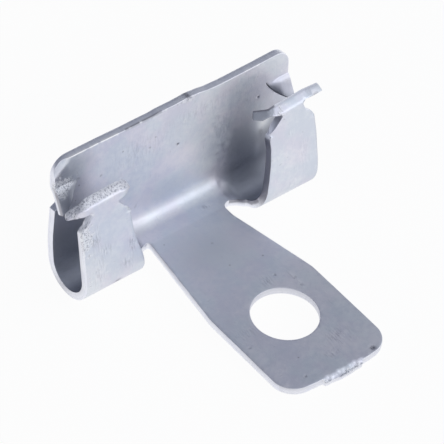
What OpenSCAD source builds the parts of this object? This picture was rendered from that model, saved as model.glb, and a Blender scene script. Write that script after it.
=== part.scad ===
// Edge clip: one folded sheet of spring steel that is knocked onto the edge of a flange.
// X runs along the flange edge, the tongue points to -Y, and +Z is up.
// It stands as it lies on a bench, on the bottoms of its two hooks and the end of its tongue.

/* [Sheet] */
// Thickness of the sheet
sheet_t = 1.2; // [0.9:0.1:1.5]

/* [Plate] */
// Width of the back plate, over both hooks
plate_w = 42; // [40:0.5:60]
// Height of the back plate above the top of the tongue
plate_h = 18.8; // [18.6:0.1:26]
// Radius of the two top corners of the plate
plate_r = 2.8; // [1:0.1:3]

/* [Tongue] */
// Reach of the tongue from the front of the plate
tongue_l = 37.3; // [34:0.1:60]
// Width of the tongue at its end
tongue_w = 18.2; // [14:0.1:20]
// Width of the tongue where it leaves the bend
root_w = 13.2; // [11:0.1:13.8]
// Distance from the plate at which the tongue gets its full width
taper_end = 20.5; // [16:0.1:22]
// Radius of the two corners at the end of the tongue
tongue_r = 2.3; // [1:0.1:4]
// Angle by which the tongue drops away from square
droop = 5; // [2:0.5:8]
// Inside radius of the bend between plate and tongue
bend_r = 1.6; // [0.8:0.1:2.2]
// Width of the torn-off carrier strip left on the end of the tongue
nib_w = 8.4; // [4:0.1:12]
// How far that carrier strip stands out
nib_l = 0.45; // [0.2:0.05:0.8]

/* [Hole] */
// Diameter of the hole for a rod or bolt
hole_d = 10; // [6:0.1:10.8]
// Distance from the centre of the hole to the end of the tongue
hole_edge = 11.9; // [8:0.1:14]

/* [Hooks] */
// Width of each hook at its bottom bend
hook_w = 10.2; // [9:0.1:11]
// Inside radius of the bottom bend, which is half the mouth between leg and flap
channel_r = 3.08; // [2.7:0.02:4]
// Depth of the channel floor below the top of the tongue
channel_drop = 1.9; // [0.8:0.05:2.6]
// Angle by which the flap leans back towards the plate
flap_lean = 7.5; // [0:0.5:12]
// Length of the flap from the bottom bend to its shoulders
flap_h = 8.9; // [7:0.1:9.6]
// Amount by which the flap narrows above the bottom bend, on its inner side
flare_w = 1.8; // [0.4:0.1:2]
// Length over which the flap narrows
flare_h = 5; // [3:0.1:6.6]
// Depth of the slot beside the tongue, measured from the front of the plate
slot_y = 3.75; // [3.3:0.05:4]
// Radius of the slot's corner against the tongue
slot_r = 1.1; // [0.6:0.1:1.2]

/* [Teeth] */
// Width of the neck between flap and toothed head
neck_w = 4.2; // [3:0.1:5]
// Height of the sloping shoulders under the neck
neck_h = 2.35; // [1.5:0.05:2.6]
// Height of the toothed head at its middle
head_h = 2.3; // [1.8:0.05:2.8]
// Width of the toothed head before its ends are bent back
head_w = 10.7; // [10:0.1:12.4]
// Height of each tooth at its tip
tooth_h = 1.25; // [0.8:0.05:1.6]
// Rise of a tooth's lower edge from the neck to the tip
tooth_rise = 0.15; // [0:0.05:0.4]
// Distance between the two lines at which the ends of the head bend back
tooth_gap = 6.2; // [5.2:0.1:7]
// Angle by which the teeth bend back towards the plate
tooth_bend = 28; // [15:1:40]
// Inside radius of the small bends at the teeth and the darts
crimp_r = 0.5; // [0.3:0.05:0.8]

/* [Darts] */
// Height of the crease of the dart above the top of the tongue
dart_z = 14.5; // [13.5:0.1:15]
// Length of the crease, in from the side of the plate
dart_w = 4.2; // [3:0.1:5]
// Height of the dart at the side of the plate
dart_h = 4.2; // [3:0.1:4.6]
// Bow of the dart's lower edge
dart_bow = 0.45; // [0.3:0.05:0.8]
// Angle by which the dart is bent forward
dart_bend = 31; // [15:1:36]

/* [Hidden] */
$fn = 96;

// A bend runs this far into the flats at its ends, and lies this deep under their faces
joint_lap = 0.05;
joint_in = 0.01;
// The upright end of a bent section runs this far into the plate
plate_lap = 0.5;
// A web runs this far into the sheet round it, and lies this deep under its faces
web_lap = 0.3;
web_in = 0.03;
web_rows = 6;
web_steps = 8;
// The narrowing cut begins this far above the bottom bend, and this far outside the hook
flare_s = 0.3;
flare_out = 0.2;
// Excess of a cutting shape
cut = 1;

plate_x = plate_w / 2;
hook_x = plate_x - hook_w;
root_x = root_w / 2;
end_x = tongue_w / 2;
channel_z = channel_r - channel_drop;
channel_ro = channel_r + sheet_t;

// Bend between plate and tongue
bend_sweep = 90 - droop;
bend_z = bend_r * tan(bend_sweep / 2);
hole_y = tongue_l - hole_edge;

// Height at which the flat of the plate begins, above both kinds of bend
plate_z = max(bend_z, channel_z);

// Web that runs from the bend of the tongue into the bottom bend of a hook
web_x0 = root_x + slot_r;
web_sweep = 90 + asin((slot_y - channel_r) / channel_r);
web_flat = slot_y / cos(droop) - bend_z;

// Flap and toothed head, along the slope of the flap
neck_s = flap_h + neck_h;
head_s = neck_s + head_h;
flap_in = hook_x + flare_w;
neck_x = (flap_in + plate_x) / 2;
flap_y = -channel_r - channel_ro * cos(flap_lean);
flap_z = channel_z + channel_ro * sin(flap_lean);
tooth_x = tooth_gap / 2;
tooth_s = neck_s + tooth_rise * (tooth_x - neck_w / 2) / (head_w / 2 - neck_w / 2);

// Circle through both ends of a dart's lower edge, bowed outwards
dart_chord = norm([dart_w, dart_h]);
dart_arc_r = dart_chord * dart_chord / 8 / dart_bow + dart_bow / 2;

// Pose on a level surface: the hooks' bottoms and the lower edge of the tongue's end touch it
tip_y = -(tongue_l + nib_l) * cos(droop) + sheet_t * sin(droop);
tip_z = -(tongue_l + nib_l) * sin(droop) - sheet_t * cos(droop);
tip_dist = norm([tip_y + channel_r, tip_z - channel_z]);
rest_tilt = atan2(channel_z - tip_z, -channel_r - tip_y) - asin(channel_ro / tip_dist);
floor_z = channel_r * sin(rest_tilt) + channel_z * cos(rest_tilt) - channel_ro;
front_y = -(tongue_l + nib_l) * cos(droop - rest_tilt);
back_y = sheet_t * cos(rest_tilt) + plate_h * sin(rest_tilt);

function mix(a, b, w) = a + (b - a) * w;
function ease(u) = u * u * (3 - 2 * u);

// Section of the web, from the plate round the bend to the slot, at a depth below its front
function web_line(w, depth) =
    let (
        r = mix(bend_r, channel_r, w),
        cz = mix(bend_z, channel_z, w),
        sweep = mix(bend_sweep, web_sweep, w),
        flat = mix(web_flat - web_in, web_in, w),
        a = sweep - 2 * w * web_in / r * 180 / PI,
        start = [depth, plate_z + web_lap],
        arc = [for (i = [0:web_steps]) [
            (r + depth) * cos(a * i / web_steps) - r,
            cz - (r + depth) * sin(a * i / web_steps)
        ]],
        last = arc[web_steps]
    )
    concat([start], arc, [last - flat * [sin(a), cos(a)]]);

// Cuts a drawing out of the sheet and stands it upright, with its front at y = 0
module upright(more = 0) {
    rotate([90, 0, 0])
        translate([0, 0, -sheet_t - more]) linear_extrude(sheet_t + 2 * more) children();
}

module both_sides() {
    for (side = [0, 1]) mirror([side, 0, 0]) children();
}

// Sheet bent about the Z axis, from +X on, over a height
module fold(r, sweep, h) {
    over = joint_lap / r * 180 / PI;
    rotate([0, 0, -over])
        rotate_extrude(angle = sweep + 2 * over)
            translate([r + joint_in, 0]) square([sheet_t - 2 * joint_in, h]);
}

// Draws a section of the sheet along X, with the drawing's own x as Y and its y as Z
module along_x(x0, x1) {
    translate([x0, 0, 0]) rotate([90, 0, 90]) linear_extrude(x1 - x0) children();
}

// Section of a bend about the origin, from one angle to another
module arc(r, a0, a1) {
    over = joint_lap / r * 180 / PI;
    far = 2 * (r + sheet_t);
    wedge = [for (i = [0:6])
        let (a = mix(a0 - over, a1 + over, i / 6))
        far * [cos(a), sin(a)]
    ];
    intersection() {
        difference() {
            circle(r + sheet_t - joint_in);
            circle(r + joint_in);
        }
        polygon(concat([[0, 0]], wedge));
    }
}

// Section that comes down from the plate and bends forward, with the bend's centre at a height
module bent_section(r, sweep, z) {
    translate([0, z]) square([sheet_t, plate_z - z + plate_lap]);
    translate([-r, z]) arc(r, -sweep, 0);
}

// Dart's outline, with the inner end of its crease at the origin, and open at the plate's side
module dart_outline() {
    mid = [dart_w, -dart_h] / 2;
    out = [-dart_h, -dart_w] / dart_chord;
    intersection() {
        translate([0, -dart_h - cut]) square([dart_w + cut, dart_h + cut]);
        translate(mid + out * (dart_bow - dart_arc_r)) circle(dart_arc_r);
    }
}

module dart_waste() {
    difference() {
        translate([-cut, -dart_h - cut]) square([dart_w + 1.5 * cut, dart_h + cut]);
        dart_outline();
    }
}

module plate_outline() {
    difference() {
        union() {
            translate([-plate_x, plate_z]) square([plate_w, plate_h - plate_r - plate_z]);
            translate([plate_r - plate_x, plate_z])
                square([plate_w - 2 * plate_r, plate_h - plate_z]);
            both_sides() translate([plate_x - plate_r, plate_h - plate_r]) circle(plate_r);
        }
        both_sides() translate([plate_x - dart_w, dart_z]) dart_outline();
    }
}

// Corner of the plate beside a lanced cut, bent forward so that it bites into the flange
module dart() {
    difference() {
        along_x(plate_x - dart_w + joint_lap, plate_x) {
            translate([0, dart_z]) square([sheet_t, plate_lap]);
            translate([-crimp_r, dart_z]) {
                arc(crimp_r, -dart_bend, 0);
                rotate(-dart_bend)
                    translate([crimp_r, -dart_h - cut / 2]) square([sheet_t, dart_h + cut / 2]);
            }
        }
        translate([plate_x - dart_w, -crimp_r, dart_z])
            rotate([-dart_bend, 0, 0]) translate([0, crimp_r, 0]) upright(cut / 2) dart_waste();
    }
}

module tongue_outline() {
    difference() {
        union() {
            polygon([
                [-root_x, slot_y], [-end_x, taper_end], [-end_x, tongue_l - tongue_r],
                [end_x, tongue_l - tongue_r], [end_x, taper_end], [root_x, slot_y]
            ]);
            translate([tongue_r - end_x, hole_y]) square([tongue_w - 2 * tongue_r, hole_edge]);
            both_sides() translate([end_x - tongue_r, tongue_l - tongue_r]) circle(tongue_r);
            translate([-nib_w / 2, hole_y]) square([nib_w, hole_edge + nib_l]);
            translate([-web_x0, bend_z]) square([2 * web_x0, slot_y + slot_r - bend_z]);
        }
        both_sides() translate([web_x0, slot_y + slot_r]) circle(slot_r);
        translate([0, hole_y]) circle(d = hole_d);
    }
}

module tongue() {
    along_x(-web_x0 - joint_lap, web_x0 + joint_lap) bent_section(bend_r, bend_sweep, bend_z);
    rotate([180 + droop, 0, 0]) linear_extrude(sheet_t) tongue_outline();
}

// Lofted web between the tight bend of the tongue and the wide bottom bend of a hook
module web() {
    count = web_steps + 3;
    xs = concat(
        [web_x0 - web_lap],
        [for (i = [0:web_rows]) mix(web_x0, hook_x, i / web_rows)],
        [hook_x + web_lap]
    );
    rings = [for (i = [0:len(xs) - 1])
        let (
            w = ease(min(max((i - 1) / web_rows, 0), 1)),
            near = web_line(w, web_in),
            far = web_line(w, sheet_t - web_in)
        )
        [for (k = [0:count - 1]) [xs[i], near[k].x, near[k].y],
         for (k = [0:count - 1]) [xs[i], far[count - 1 - k].x, far[count - 1 - k].y]]
    ];
    n = 2 * count;
    last = (len(xs) - 1) * n;
    points = [for (ring = rings) each ring];
    walls = [for (i = [0:len(xs) - 2], k = [0:n - 1])
        let (a = i * n + k, b = i * n + (k + 1) % n)
        each [[a, b + n, b], [a, a + n, b + n]]
    ];
    caps = [for (k = [0:count - 2])
        let (a = k, b = k + 1, c = n - 2 - k, d = n - 1 - k)
        each [[a, b, c], [a, c, d], [last + a, last + c, last + b], [last + a, last + d, last + c]]
    ];
    polyhedron(points, concat(walls, caps));
}

// Flap, neck and the flat middle of the toothed head, open at the sides of the hook's bend
module flap_outline() {
    polygon([
        [hook_x - 2 * cut, flare_s], [hook_x - flare_out, flare_s], [flap_in, flare_h], [flap_in, flap_h],
        [neck_x - neck_w / 2, neck_s], [neck_x - tooth_x, tooth_s], [neck_x - tooth_x, head_s],
        [neck_x + tooth_x, head_s], [neck_x + tooth_x, tooth_s], [neck_x + neck_w / 2, neck_s],
        [plate_x, flap_h], [plate_x + 2 * cut, flap_h], [plate_x + 2 * cut, flare_s]
    ]);
}

module flap_waste() {
    difference() {
        translate([hook_x - cut, flare_s]) square([hook_w + 2 * cut, head_s + 2 * cut]);
        flap_outline();
    }
}

// One end of the toothed head, seen from its middle, with the bend at the middle's end
module tooth() {
    tip_x = head_w / 2;
    tip_s = neck_s + tooth_rise;
    translate([tooth_x, sheet_t + crimp_r, 0]) {
        rotate([0, 0, -90])
            translate([0, 0, tooth_s + joint_in])
                fold(crimp_r, tooth_bend, head_s - tooth_s - 2 * joint_in);
        rotate([0, 0, tooth_bend]) translate([-tooth_x, -sheet_t - crimp_r, 0]) upright() polygon([
            [tooth_x, tooth_s], [tip_x, tip_s], [tip_x, tip_s + tooth_h], [tooth_x, head_s]
        ]);
    }
}

module in_flap() {
    translate([0, flap_y, flap_z]) rotate([-flap_lean, 0, 0]) children();
}

module hook() {
    difference() {
        along_x(hook_x, plate_x) {
            bent_section(channel_r, 180 + flap_lean, channel_z);
            translate([flap_y, flap_z]) rotate(-flap_lean) square([sheet_t, head_s + cut]);
        }
        in_flap() upright(cut) flap_waste();
    }
    in_flap() translate([neck_x, 0, 0]) both_sides() tooth();
}

module clip() {
    color([0.72, 0.75, 0.79])
        translate([0, -(front_y + back_y) / 2, -floor_z])
            rotate([-rest_tilt, 0, 0]) {
                upright() plate_outline();
                tongue();
                both_sides() {
                    dart();
                    web();
                    hook();
                }
            }
}

clip();
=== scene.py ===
import math

import bmesh
import bpy
import numpy as np
from mathutils import Matrix, Vector
from mathutils.geometry import delaunay_2d_cdt


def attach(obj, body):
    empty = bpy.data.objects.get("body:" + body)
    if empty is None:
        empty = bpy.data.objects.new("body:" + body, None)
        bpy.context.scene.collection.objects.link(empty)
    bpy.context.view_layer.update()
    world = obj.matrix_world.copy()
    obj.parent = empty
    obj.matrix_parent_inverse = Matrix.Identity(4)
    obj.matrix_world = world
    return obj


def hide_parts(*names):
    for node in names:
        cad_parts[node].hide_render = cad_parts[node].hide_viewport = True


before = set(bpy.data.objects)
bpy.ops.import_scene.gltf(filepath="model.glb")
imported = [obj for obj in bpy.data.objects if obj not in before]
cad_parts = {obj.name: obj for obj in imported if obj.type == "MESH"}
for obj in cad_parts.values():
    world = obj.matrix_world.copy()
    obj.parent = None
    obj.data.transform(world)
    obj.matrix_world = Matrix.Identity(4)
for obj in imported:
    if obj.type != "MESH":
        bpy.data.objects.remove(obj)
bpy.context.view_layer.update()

# The clip is drawn as a flat blank, x along the flange edge and s down the middle of the sheet from the
# top of the plate, and then folded. Lengths are in millimetres until the mesh is made.
sheet = {
    "thick": 1.2,
    "plateWidth": 42.0,
    "plateHeight": 18.8,
    "tongueReach": 37.3,
    "tongueRoot": 13.2,
    "tongueTaper": 20.5,  # where its sides stop spreading
    "droop": 5.0,
    "bendRadius": 2.5,
    "nibReach": 0.45,  # as in the solids, which the clip is laid down by
    "holeRadius": 4.92,
    "holeFromEnd": 11.9,
    "channelRadius": 3.08,
    "channelDrop": 1.9,  # from the top of the tongue's root down to the bottom of the channel's inside
    "flapLean": 7.5,
    "flapLength": 8.9,
    "headReach": 13.55,  # from the foot of the flap to the top of the head
    "slotDepth": 3.75,
    "slotCorner": 1.1,
    "foldLine": 3.1,  # from the middle of the neck to where a tooth bends
    "crimpRadius": 0.5,
    "dartHeight": 14.5,
    "dartLength": 4.2,
    "dartSpread": 2.6,  # the crease opens over this width
    "dartBow": 0.45,
    "dartSteep": 50.0,
    "dartCrease": 0.25,
    "dartRise": 0.12,
    "dartStretch": 1.13,
    "slitGap": 0.03,
}

# What differs between the two hooks, by side: the setting tools never bend both alike. Each corner is a
# distance from the middle of the clip, a height above the foot of the flap and a corner radius. The
# teeth are told apart by 1 for the outer one and -1 for the inner one.
halves = {
    1: {
        "hookInner": 10.95,
        "neckMiddle": 16.81,
        "shoulderOuter": [(21.0, 8.95, 0.4), (20.4, 9.9, 0.5), (19.4, 10.75, 0.5), (19.03, 11.85, 0.3)],
        "toothOuter": [(19.6, 12.25, 0.4), (23.2, 11.65, 0.15), (23.35, 12.5, 0.2), (19.9, 13.28, 0.8)],
        "headTop": [(17.6, 13.1, 2.0), (14.3, 12.9, 0.8)],
        "toothInner": [(13.3, 12.75, 0.5), (10.95, 12.55, 0.25), (10.85, 11.6, 0.2), (12.3, 11.55, 0.4),
                       (13.4, 11.98, 0.5), (15.35, 11.52, 0.25)],
        "shoulderInner": [(13.95, 10.2, 0.4), (13.05, 9.3, 0.4), (12.6, 8.2, 0.6)],
        "flapInner": [(12.72, 6.6, 4.0), (12.5, 3.9, 4.0), (12.1, 1.7, 4.0), (11.45, -1.3, 4.0)],
        "flapOuter": [(21.0, -3.0, 6.0), (21.28, 1.5, 6.0), (21.22, 6.0, 6.0)],
        "plateCorner": 2.3,
        "tongueRoot": 6.3,
        "tongueWaist": 6.3,
        "tongueSide": 9.1,
        "tongueCorner": 3.4,
        "endSkew": 0.25,
        "toothBend": {1: 12.0, -1: 38.0},
        "dartBend": 25.0,
        "topBevel": 1.1,
    },
    -1: {
        "hookInner": 10.45,
        "neckMiddle": 16.675,
        "shoulderOuter": [(21.0, 8.7, 0.6), (20.2, 9.5, 1.0), (18.45, 11.38, 0.3)],
        "toothOuter": [(19.6, 11.3, 0.4), (22.63, 11.16, 0.12), (22.55, 11.62, 0.12), (21.8, 12.15, 0.6),
                       (20.35, 12.95, 0.8), (19.4, 13.42, 0.8)],
        "headTop": [(14.0, 13.62, 1.0)],
        "toothInner": [(12.4, 13.25, 0.6), (11.35, 12.66, 0.2), (11.5, 12.1, 0.2), (13.5, 11.38, 0.5),
                       (14.45, 11.15, 0.25)],
        "shoulderInner": [(13.5, 10.0, 0.5), (12.45, 8.85, 0.5)],
        "flapOuter": [(21.0, 4.0, 4.0)],
        "flapInner": [(12.38, 7.0, 4.0), (12.1, 4.8, 4.0), (11.56, 2.6, 4.0), (10.98, 0.7, 3.0),
                      (10.6, -1.3, 3.0)],
        "plateCorner": 2.8,
        "tongueRoot": 7.0,
        "tongueWaist": 7.4,
        "tongueSide": 9.42,
        "tongueCorner": 3.6,
        "endSkew": -0.05,
        "toothBend": {1: 28.0, -1: 28.0},
        "dartBend": 25.0,
        "topBevel": 1.0,
    },
}

# The torn-off carrier strip has left a low nib on the plate's top edge and a rougher one on the tongue's
# end: place on the blank and corner radius
topNib = [
    (-13.5, -0.08, 3.0), (-9.0, 0.05, 3.0), (-4.0, 0.02, 0.8), (-2.7, -0.12, 0.5), (0.0, -0.17, 1.0),
    (2.1, -0.36, 0.4), (3.2, -0.33, 0.5), (4.6, -0.22, 0.6), (6.0, 0.0, 1.5), (8.5, 0.16, 2.0),
    (14.5, 0.18, 3.0),
]
tongueNib = [
    (-4.4, 56.56, 0.3), (-3.5, 56.6, 0.12), (-3.25, 57.12, 0.15), (-2.6, 57.2, 0.2),
    (-2.2, 57.14, 0.2), (-0.6, 57.4, 0.4), (1.1, 57.38, 0.4), (2.2, 57.24, 0.2), (3.2, 57.26, 0.15),
    (3.6, 56.92, 0.15), (5.0, 56.86, 0.8),
]

# Section through a sheared edge: offset out of the blank, and height from the middle as a share of half
# the thickness. It is sharp at the front and rolls over at the back.
rimSection = [
    (-0.07, 1.0), (-0.03, 0.985), (-0.008, 0.945), (0.0, 0.86), (0.012, 0.3),
    (0.0, -0.3), (-0.01, -0.74), (-0.03, -0.9), (-0.05, -0.965), (-0.07, -1.0),
]

meshSteps = {"plain": 0.3, "edge": 0.2, "bend": 0.2, "channel": 0.27, "crimp": 0.15, "dent": 0.09}

# Small dents and pits of the photographed clip, on the side that faces the flange: place on the blank,
# radius and depth
dents = [
    (-4.24, 5.57, 0.16, 0.07), (0.86, 7.48, 0.2, 0.11), (15.48, 6.26, 0.2, 0.08), (2.5, -0.1, 0.3, 0.08),
    (3.57, 37.63, 0.2, 0.07), (5.75, 39.6, 0.22, 0.03), (5.5, 41.2, 0.25, 0.04), (6.05, 56.0, 0.38, 0.12),
    (0.27, 27.8, 0.16, 0.06), (-5.15, 54.8, 0.2, 0.05), (-8.2, 46.4, 0.18, 0.05), (-12.9, 6.2, 0.2, 0.05),
]


def mix(a, b, w):
    return a + (b - a) * w


def ease(u):
    return u * u * (3 - 2 * u)


def unit(value):
    return np.clip(value, 0, 1)


def rise(value, start, length):
    # from 0 at start to 1 a length further on, without a kink
    return ease(unit((value - start) / length))


def peak(value, middle, width):
    return np.exp(-((value - middle) / width) ** 2)


def near(x, s, x0, s0, width, height):
    return np.exp(-((x - x0) / width) ** 2 - ((s - s0) / height) ** 2)


half = sheet["thick"] / 2
plateX = sheet["plateWidth"] / 2
bendSweep = math.radians(90 - sheet["droop"])
bendHeight = sheet["bendRadius"] * math.tan(bendSweep / 2)
channelHeight = sheet["channelRadius"] - sheet["channelDrop"]
hookSweep = math.radians(180 + sheet["flapLean"])
slotShare = (sheet["slotDepth"] - sheet["channelRadius"]) / sheet["channelRadius"]
webSweep = math.pi / 2 + math.asin(slotShare)
webStart = sheet["tongueRoot"] / 2 + sheet["slotCorner"]
creaseS = sheet["plateHeight"] - sheet["dartHeight"]
creaseX = plateX - sheet["dartLength"]
crimpMiddle = sheet["crimpRadius"] + half
flapS = sheet["plateHeight"] - channelHeight + (sheet["channelRadius"] + half) * hookSweep
headS = flapS + sheet["headReach"]
tongueShift = sheet["plateHeight"] - 2 * bendHeight + (sheet["bendRadius"] + half) * bendSweep
holeS = tongueShift + (sheet["tongueReach"] - sheet["holeFromEnd"])
slotLine = tongueShift + sheet["slotDepth"] + 3
slitChord = sheet["dartLength"] * math.sqrt(2)
slitRadius = slitChord ** 2 / 8 / sheet["dartBow"] + sheet["dartBow"] / 2
slitRise = (slitRadius - sheet["dartBow"]) / math.sqrt(2)
slitCentre = (
    creaseX + sheet["dartLength"] / 2 + slitRise,
    creaseS + sheet["dartLength"] / 2 - slitRise,
)


def tongueS(reach):
    # place on the blank of a distance along the top of the tongue
    return tongueShift + reach


def slitS(x):
    # place of the lanced cut under a dart, at a distance from the middle of the clip
    dx = np.clip(slitCentre[0] - x, -slitRadius, slitRadius)
    return slitCentre[1] + np.sqrt(slitRadius ** 2 - dx ** 2)


def inDart(x, s):
    return (np.abs(x) > creaseX) & (s > creaseS) & (s < slitS(np.abs(x)))


def bySide(x, values):
    return np.where(x >= 0, values[1], values[-1])


def ownOf(x, name):
    # what the half of the clip that a point lies on has under a name
    return bySide(x, {side: own[name] for side, own in halves.items()})


def dartProfile(bend):
    # Down a dart from its crease: distance, way forward, way down and tilt
    steep, last = math.radians(sheet["dartSteep"]), math.radians(bend)
    crease = (sheet["dartCrease"] + half) * steep
    brow = crease + sheet["dartRise"]
    flat = brow + (sheet["dartCrease"] + half) * (steep - last)
    along = np.linspace(0, 8, 801)
    tilt = np.interp(along, [0, crease, brow, flat], [0, steep, steep, last])
    between = (tilt[1:] + tilt[:-1]) / 2
    forward = np.concatenate([[0], np.cumsum(np.sin(between))]) * along[1]
    down = np.concatenate([[0], np.cumsum(np.cos(between))]) * along[1]
    return along, forward, down, tilt


def foldBends(x, s):
    # the plate runs into the hooks at its ends and into the tongue in its middle
    across = np.abs(x)
    web = rise(across, webStart, ownOf(x, "hookInner") - webStart)
    w = np.where(s > slotLine, np.where(across > 10, 1.0, 0.0), web)
    radius = mix(sheet["bendRadius"], sheet["channelRadius"], w)
    height = mix(bendHeight, channelHeight, w)
    sweep = np.where(w >= 1, hookSweep, mix(bendSweep, webSweep, w))
    middle = radius + half
    straight = sheet["plateHeight"] - height
    turn = np.clip((s - straight) / middle, 0, sweep)
    after = np.maximum(s - straight - middle * sweep, 0)
    y = -radius + middle * np.cos(turn) - after * np.sin(turn)
    z = height - middle * np.sin(turn) - after * np.cos(turn) + np.maximum(straight - s, 0)
    return np.stack([x, y, z], 1), np.stack([np.zeros_like(x), -np.cos(turn), np.sin(turn)], 1)


def foldDarts(x, s):
    # the darts leave the plate steeply and then lie flatter
    along = np.maximum(s - creaseS, 0) * sheet["dartStretch"]
    risen = {k: dartProfile(halves[k]["dartBend"]) for k in halves}
    forward, down, tilt = (
        bySide(x, {k: np.interp(along, risen[k][0], risen[k][row]) for k in halves}) for row in (1, 2, 3))
    grown = 0.3 + 0.7 * rise(np.abs(x), creaseX, sheet["dartSpread"])
    forward, down, tilt = forward * grown, along - (along - down) * grown ** 2, tilt * grown
    place = np.stack([x, half - forward, sheet["dartHeight"] - down], 1)
    return place, np.stack([np.zeros_like(x), -np.cos(tilt), np.sin(tilt)], 1)


def foldTeeth(x, place, normal):
    # the ends of the toothed heads fold back towards the plate; run is how far past the fold a point lies
    side = np.where(x >= 0, 1, -1)
    neck = ownOf(x, "neckMiddle")
    beyond = np.abs(x) - neck
    out = np.where(beyond >= 0, 1, -1)
    run = np.abs(beyond) - sheet["foldLine"]
    bends = {k: np.where(out > 0, own["toothBend"][1], own["toothBend"][-1]) for k, own in halves.items()}
    toothSweep = np.radians(bySide(x, bends))
    tilt = np.clip(run / crimpMiddle, 0, toothSweep)
    rest = np.maximum(run - crimpMiddle * toothSweep, 0)
    reach = sheet["foldLine"] + crimpMiddle * np.sin(tilt) + rest * np.cos(tilt)
    depth = crimpMiddle * (1 - np.cos(tilt)) + rest * np.sin(tilt)
    foldedPlace = place + normal * depth[:, None]
    foldedPlace[:, 0] = side * (neck + out * reach)
    foldedNormal = normal * np.cos(tilt)[:, None]
    foldedNormal[:, 0] = -side * out * np.sin(tilt)
    return foldedPlace, foldedNormal, run


def foldSheet(x, s, lip):
    # Folds points of the blank: their places on the middle of the sheet, and the normals of its front
    place, normal = foldBends(x, s)
    dartPlace, dartNormal = foldDarts(x, s)
    place = np.where(lip[:, None], dartPlace, place)
    normal = np.where(lip[:, None], dartNormal, normal)
    toothPlace, toothNormal, run = foldTeeth(x, place, normal)
    folded = (s > flapS + sheet["flapLength"]) & (run > 0) & (np.abs(x) > 10) & ~lip
    place = np.where(folded[:, None], toothPlace, place)
    normal = np.where(folded[:, None], toothNormal, normal)
    return place, normal


def layDown(points):
    # Stands the clip on the bottoms of its hooks and the end of its tongue, as part.scad does
    droop = math.radians(sheet["droop"])
    reach = sheet["tongueReach"] + sheet["nibReach"]
    tipY = -reach * math.cos(droop) + sheet["thick"] * math.sin(droop)
    tipZ = -reach * math.sin(droop) - sheet["thick"] * math.cos(droop)
    radius = sheet["channelRadius"]
    outer = radius + sheet["thick"]
    distance = math.hypot(tipY + radius, tipZ - channelHeight)
    tilt = math.atan2(channelHeight - tipZ, -radius - tipY) - math.asin(outer / distance)
    floorZ = radius * math.sin(tilt) + channelHeight * math.cos(tilt) - outer
    frontY = -reach * math.cos(droop - tilt)
    backY = sheet["thick"] * math.cos(tilt) + sheet["plateHeight"] * math.sin(tilt)
    y = points[:, 1] * math.cos(tilt) + points[:, 2] * math.sin(tilt) - (frontY + backY) / 2
    z = -points[:, 1] * math.sin(tilt) + points[:, 2] * math.cos(tilt) - floorZ
    return np.stack([points[:, 0], y, z], 1)


def slitPoints(gap, count):
    # points along one side of the lanced cut, from the side of the plate to the end of the crease
    radius = slitRadius + gap
    first = math.acos((slitCentre[0] - plateX) / radius)
    last = math.acos(min(1.0, (slitCentre[0] - creaseX) / radius))
    points = []
    for i in range(count):
        a = mix(first, last, i / (count - 1))
        points.append((slitCentre[0] - radius * math.cos(a), slitCentre[1] + radius * math.sin(a)))
    return points


def halfOutline(side):
    # Corners of half the blank, each with its radius, from the top of the plate to the tongue's end
    own = halves[side]
    upper = slitPoints(-sheet["slitGap"], 9)
    lower = slitPoints(sheet["slitGap"], 9)
    path = [(plateX, 0.0, own["plateCorner"]), (*upper[0], 0.2)]
    path += [(x, s, 0.0) for x, s in upper[1:-1]]
    path.append((creaseX, creaseS + 0.06, 0.0))
    path += [(x, s, 0.0) for x, s in lower[-2:0:-1]]
    path.append((*lower[0], 0.2))
    for part in ("flapOuter", "shoulderOuter", "toothOuter", "headTop",
                 "toothInner", "shoulderInner", "flapInner"):
        path += [(x, flapS + above, radius) for x, above, radius in own[part]]
    path += [
        (own["hookInner"], flapS - 4.2, 3.0),
        (own["hookInner"], slotEnd(), 0.5),
        (webStart, tongueS(sheet["slotDepth"]), 0.6),
        (own["tongueRoot"], tongueS(sheet["slotDepth"]), 1.0),
        (own["tongueWaist"], tongueS(sheet["slotDepth"] + 2.6), 4.0),
        (own["tongueSide"], tongueS(sheet["tongueTaper"]), 6.0),
        (own["tongueSide"], tongueS(sheet["tongueReach"]) + own["endSkew"], own["tongueCorner"]),
    ]
    return [(side * x, s, r) for x, s, r in path]


def slotEnd():
    middle = sheet["channelRadius"] + half
    return sheet["plateHeight"] - channelHeight + middle * webSweep


def roundCorners(corners, step):
    # A closed loop of points along an outline, with each corner turned into an arc
    loop = []
    count = len(corners)
    for i, (x, s, radius) in enumerate(corners):
        p = np.array([x, s])
        before = np.array(corners[i - 1][:2]) - p
        after = np.array(corners[(i + 1) % count][:2]) - p
        reachIn, reachOut = np.linalg.norm(before), np.linalg.norm(after)
        u, v = before / reachIn, after / reachOut
        corner = math.acos(max(-1.0, min(1.0, float(u @ v))))
        if radius == 0 or corner > math.radians(178.5):
            loop.append(p)
            continue
        shareIn = 0.48 if corners[i - 1][2] > 1 else 0.8
        shareOut = 0.48 if corners[(i + 1) % count][2] > 1 else 0.8
        cutBack = min(radius / math.tan(corner / 2), shareIn * reachIn, shareOut * reachOut)
        radius = cutBack * math.tan(corner / 2)
        middle = p + (u + v) / np.linalg.norm(u + v) * radius / math.sin(corner / 2)
        start, end = p + u * cutBack - middle, p + v * cutBack - middle
        turn = math.pi - corner
        pieces = max(2, math.ceil(turn / math.radians(12)), math.ceil(turn * radius / step))
        spin = math.copysign(1, start[0] * end[1] - start[1] * end[0])
        for k in range(pieces + 1):
            a = spin * turn * k / pieces
            c, d = math.cos(a), math.sin(a)
            loop.append(middle + [start[0] * c - start[1] * d, start[0] * d + start[1] * c])
    dense = []
    for i, p in enumerate(loop):
        q = loop[(i + 1) % len(loop)]
        length = np.linalg.norm(q - p)
        if length < 1e-6:
            continue
        pieces = max(1, math.ceil(length / step))
        dense += [p + (q - p) * k / pieces for k in range(pieces)]
    return np.array(dense)


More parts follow.
